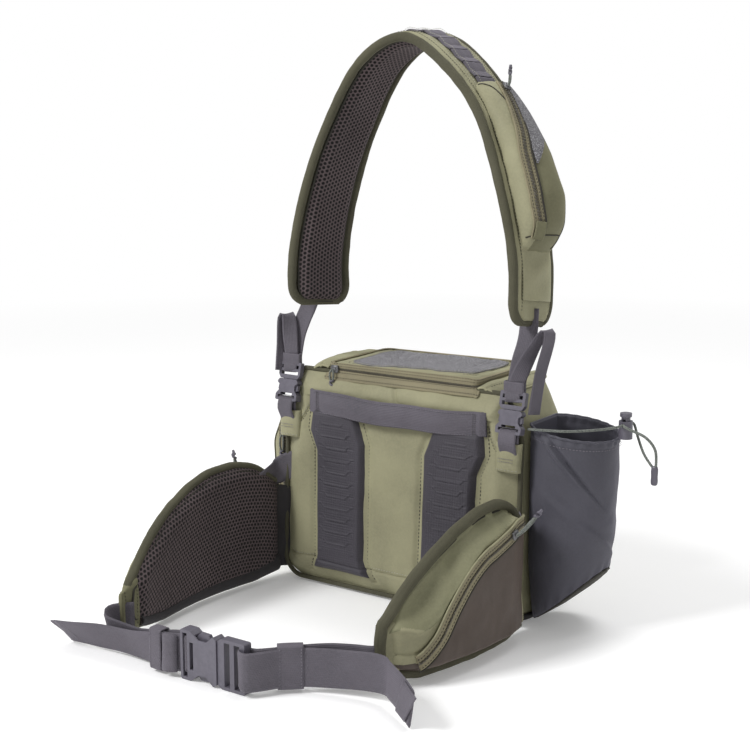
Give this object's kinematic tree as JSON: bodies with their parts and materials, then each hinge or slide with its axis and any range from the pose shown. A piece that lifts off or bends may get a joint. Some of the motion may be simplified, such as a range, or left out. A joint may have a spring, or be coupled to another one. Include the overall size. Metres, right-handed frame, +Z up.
{
  "type": "hip pack with shoulder strap",
  "caption": "Fabric hip pack with a lidded main compartment, padded hip wings, a waist belt with a side-release buckle and a detachable padded shoulder strap.",
  "frame": {"origin": "centre of the flat base, on the floor", "axes": "+Z up; the padded back panel and the waist belt face -Y; the bottle pocket is on +X; the lid hinge is on +Y"},
  "size_m": [0.4813, 0.4541, 0.6042],
  "materials": {
    "olive_fabric": "coated ripstop, matt",
    "dark_olive_binding": "woven binding tape",
    "grey_webbing": "polyamide webbing",
    "grey_panel": "embossed ripstop",
    "grey_stretch": "smooth stretch fabric",
    "spacer_mesh": "three-layer spacer mesh",
    "taupe_stretch": "stretch fabric",
    "zip_tape": "coated zip tape",
    "knit": "heather knit",
    "base_coating": "coated base fabric",
    "foam": "closed-cell foam",
    "buckle": "moulded acetal",
    "cord": "braided elastic",
    "slider": "painted die casting",
    "spring_steel": "drawn wire"
  },
  "bodies": {
    "pack": {"bag_shell": "olive_fabric", "base_panel": "base_coating", "back_foam": "foam", "back_panel": "olive_fabric", "back_pad_left": "grey_panel", "back_pad_right": "grey_panel", "edge_piping": "dark_olive_binding", "grab_handle": "grey_webbing", "front_pocket": "olive_fabric", "front_zip": "zip_tape", "side_pocket": "olive_fabric", "side_zip": "zip_tape", "bottle_pocket": "grey_stretch", "bottle_cord": "cord", "cord_end": "buckle", "cord_lock_body": "buckle", "cord_lock_spring": "spring_steel", "strap_anchor_left": "grey_webbing", "strap_anchor_right": "grey_webbing", "main_zip_tape": "zip_tape", "top_gussets": "olive_fabric"},
    "side_zip_pull": {"side_zip_slider": "slider"},
    "main_zip_pull": {"main_zip_slider": "slider"},
    "cord_button": {"cord_lock_button": "buckle"},
    "lid": {"lid_top": "olive_fabric", "lid_knit_patch": "knit", "lid_zip_tape": "zip_tape"},
    "wing_left": {"wing_left_pad": "foam", "wing_left_mesh": "spacer_mesh", "wing_left_binding": "dark_olive_binding", "wing_left_shell": "olive_fabric", "wing_left_tab": "olive_fabric"},
    "wing_right": {"wing_right_pad": "foam", "wing_right_mesh": "spacer_mesh", "wing_right_binding": "dark_olive_binding", "wing_right_pocket": "taupe_stretch", "wing_right_zip": "zip_tape", "wing_right_tab": "olive_fabric"},
    "wing_zip_pull": {"wing_right_slider": "slider"},
    "belt_left": {"belt_web_left": "grey_webbing", "waist_socket": "buckle"},
    "belt_right": {"belt_web_right": "grey_webbing", "belt_keeper": "grey_webbing", "waist_plug": "buckle", "waist_plug_prongs": "buckle"},
    "strap_ends": {"strap_socket_left": "buckle", "strap_socket_right": "buckle"},
    "shoulder_strap": {"strap_plug_left": "buckle", "strap_plug_right": "buckle", "strap_plug_prongs": "buckle", "strap_web_left": "grey_webbing", "strap_web_right": "grey_webbing", "strap_pad": "olive_fabric", "strap_mesh": "spacer_mesh", "strap_binding": "dark_olive_binding", "strap_daisy_chain": "grey_webbing", "strap_pocket": "olive_fabric", "strap_pocket_knit": "knit", "strap_pocket_zip": "zip_tape"},
    "strap_zip_pull": {"strap_pocket_slider": "slider"}
  },
  "joints": [
    {"name": "lid_open", "type": "hinge", "parent": "pack", "child": "lid", "pos_m": [0, 0.0472, 0.2458], "axis": [-1, 0, 0], "range_deg": [0, 110]},
    {"name": "main_zip_run", "type": "slide", "parent": "pack", "child": "main_zip_pull", "axis": [1, 0, 0], "range_m": [0, 0.168]},
    {"name": "side_zip_run", "type": "slide", "parent": "pack", "child": "side_zip_pull", "axis": [0, 0, -1], "range_m": [0, 0.105]},
    {"name": "cord_lock_press", "type": "slide", "parent": "pack", "child": "cord_button", "axis": [0, 0, -1], "range_m": [0, 0.004], "stiffness_N_per_m": 400, "springref_m": -0.002, "deforming": ["cord_lock_spring"]},
    {"name": "wing_left_swing", "type": "hinge", "parent": "pack", "child": "wing_left", "pos_m": [-0.157, -0.082, 0.07], "axis": [0, 0, -1], "range_deg": [0, 60], "deforming": ["waist_plug_prongs"]},
    {"name": "wing_right_swing", "type": "hinge", "parent": "pack", "child": "wing_right", "pos_m": [0.157, -0.082, 0.07], "axis": [0, 0, 1], "range_deg": [0, 60]},
    {"name": "wing_zip_run", "type": "slide", "parent": "wing_right", "child": "wing_zip_pull", "axis": [-0.0636, -0.9509, -0.303], "range_m": [0, 0.04]},
    {"name": "belt_left_turn", "type": "hinge", "parent": "wing_left", "child": "belt_left", "pos_m": [-0.147, -0.3427, 0.025], "axis": [0, 0, -1], "range_deg": [-60, 0]},
    {"name": "belt_right_turn", "type": "hinge", "parent": "wing_right", "child": "belt_right", "pos_m": [0.126, -0.2965, 0.025], "axis": [0, 0, 1], "range_deg": [-60, 0]},
    {"name": "strap_swing", "type": "hinge", "parent": "pack", "child": "strap_ends", "pos_m": [0, -0.083, 0.204], "axis": [1, 0, 0], "range_deg": [-3, 95]},
    {"name": "strap_release", "type": "slide", "parent": "strap_ends", "child": "shoulder_strap", "axis": [0, 0.225, 0.9744], "range_m": [0, 0.03], "deforming": ["strap_plug_prongs"]},
    {"name": "strap_zip_run", "type": "slide", "parent": "shoulder_strap", "child": "strap_zip_pull", "axis": [0.643, -0.3963, -0.6553], "range_m": [0, 0.03]}
  ],
  "couplings": [
    {"joint": "belt_left_turn", "follows": "wing_left_swing", "ratio": -1},
    {"joint": "belt_right_turn", "follows": "wing_right_swing", "ratio": -1}
  ]
}
